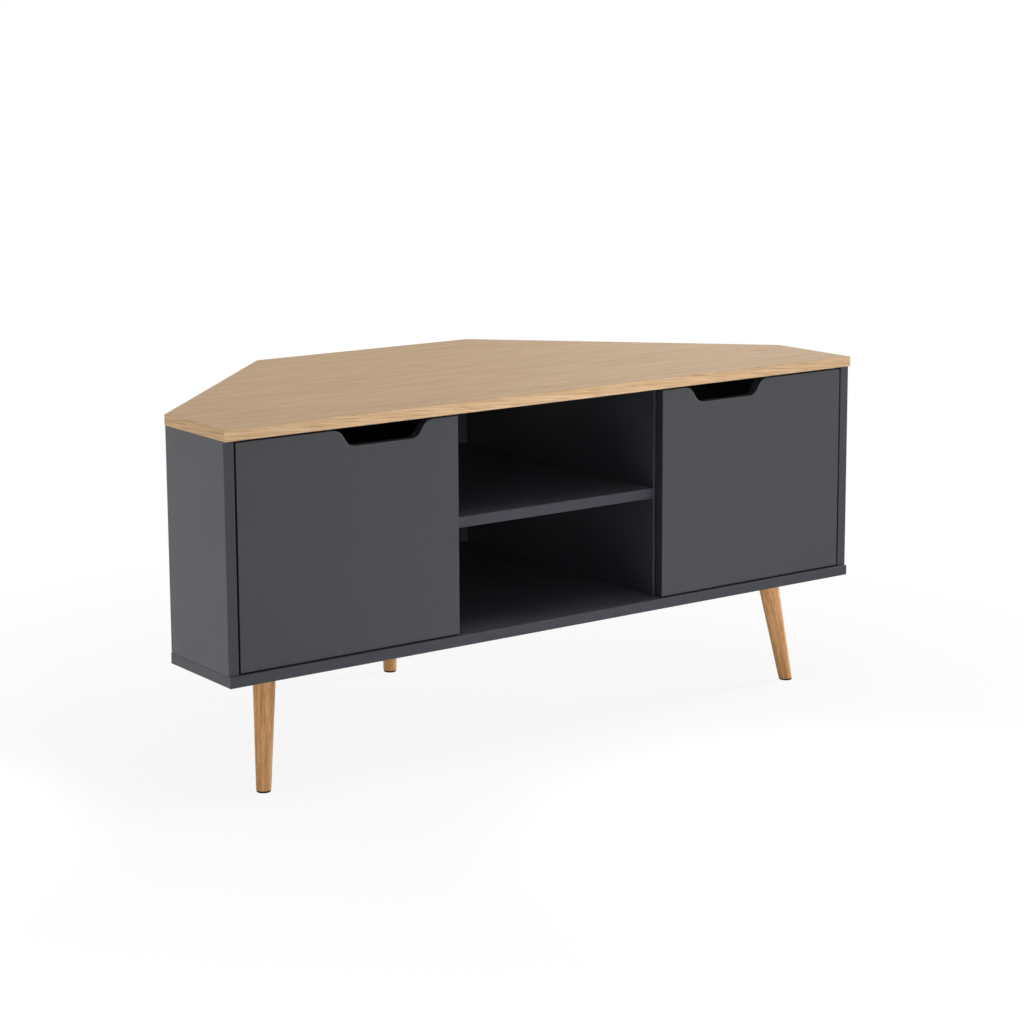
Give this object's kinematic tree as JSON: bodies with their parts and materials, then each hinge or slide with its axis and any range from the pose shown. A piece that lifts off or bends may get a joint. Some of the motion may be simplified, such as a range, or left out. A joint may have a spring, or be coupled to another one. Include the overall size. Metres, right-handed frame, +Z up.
{
  "type": "corner television cabinet",
  "caption": "Low corner television cabinet with a six-sided oak top, anthracite carcass, open shelved niche, hinged doors with notched finger grips, and splayed tapered legs.",
  "frame": {"origin": "on the floor, under the middle of the outline, halfway between the front edge and the back edge of the top", "axes": "+X to the right of someone who faces the doors, -Y towards that person, +Z up"},
  "size_m": [1.15, 0.55, 0.535],
  "materials": {
    "oak_veneer": "satin clear lacquer over straight-grained oak veneer",
    "oak_band": "satin clear lacquer on a thin oak edge band",
    "oak_leg": "satin lacquer on turned solid oak",
    "anthracite_lacquer": "smooth satin anthracite lacquer on board",
    "pad": "matt dark brown glide",
    "bumper": "translucent white door bumper",
    "hinge_steel": "nickel-plated pressed steel",
    "zinc_steel": "zinc-plated steel",
    "insert_brass": "plain brass"
  },
  "bodies": {
    "cabinet": {"top_panel": "oak_veneer", "top_band_front": "oak_band", "top_band_right": "oak_band", "top_band_back_right": "oak_band", "top_band_back": "oak_band", "top_band_back_left": "oak_band", "top_band_left": "oak_band", "base_panel": "anthracite_lacquer", "back_panel_centre": "anthracite_lacquer", "back_panel_left": "anthracite_lacquer", "back_panel_right": "anthracite_lacquer", "centre_shelf": "anthracite_lacquer", "left_side_panel": "anthracite_lacquer", "left_divider": "anthracite_lacquer", "shelf_pin_left_front": "zinc_steel", "shelf_pin_left_back": "zinc_steel", "left_bumper_top": "bumper", "left_bumper_bottom": "bumper", "left_upper_hinge_arm": "hinge_steel", "left_upper_hinge_plate": "zinc_steel", "left_lower_hinge_arm": "hinge_steel", "left_lower_hinge_plate": "zinc_steel", "right_side_panel": "anthracite_lacquer", "right_divider": "anthracite_lacquer", "shelf_pin_right_front": "zinc_steel", "shelf_pin_right_back": "zinc_steel", "right_bumper_top": "bumper", "right_bumper_bottom": "bumper", "right_upper_hinge_arm": "hinge_steel", "right_upper_hinge_plate": "zinc_steel", "right_lower_hinge_arm": "hinge_steel", "right_lower_hinge_plate": "zinc_steel", "front_left_leg": "oak_leg", "front_left_leg_pad": "pad", "front_left_leg_insert": "insert_brass", "front_left_leg_bolt": "zinc_steel", "front_right_leg": "oak_leg", "front_right_leg_pad": "pad", "front_right_leg_insert": "insert_brass", "front_right_leg_bolt": "zinc_steel", "back_leg": "oak_leg", "back_leg_pad": "pad", "back_leg_insert": "insert_brass", "back_leg_bolt": "zinc_steel"},
    "left_door": {"left_door": "anthracite_lacquer", "left_upper_hinge_cup": "hinge_steel", "left_upper_hinge_pin": "zinc_steel", "left_lower_hinge_cup": "hinge_steel", "left_lower_hinge_pin": "zinc_steel"},
    "right_door": {"right_door": "anthracite_lacquer", "right_upper_hinge_cup": "hinge_steel", "right_upper_hinge_pin": "zinc_steel", "right_lower_hinge_cup": "hinge_steel", "right_lower_hinge_pin": "zinc_steel"}
  },
  "joints": [
    {"name": "left_door_hinge", "type": "hinge", "parent": "cabinet", "child": "left_door", "pos_m": [-0.544, -0.263, 0.3545], "axis": [0, 0, -1], "range_deg": [0, 95]},
    {"name": "right_door_hinge", "type": "hinge", "parent": "cabinet", "child": "right_door", "pos_m": [0.544, -0.263, 0.3545], "axis": [0, 0, 1], "range_deg": [0, 95]}
  ]
}
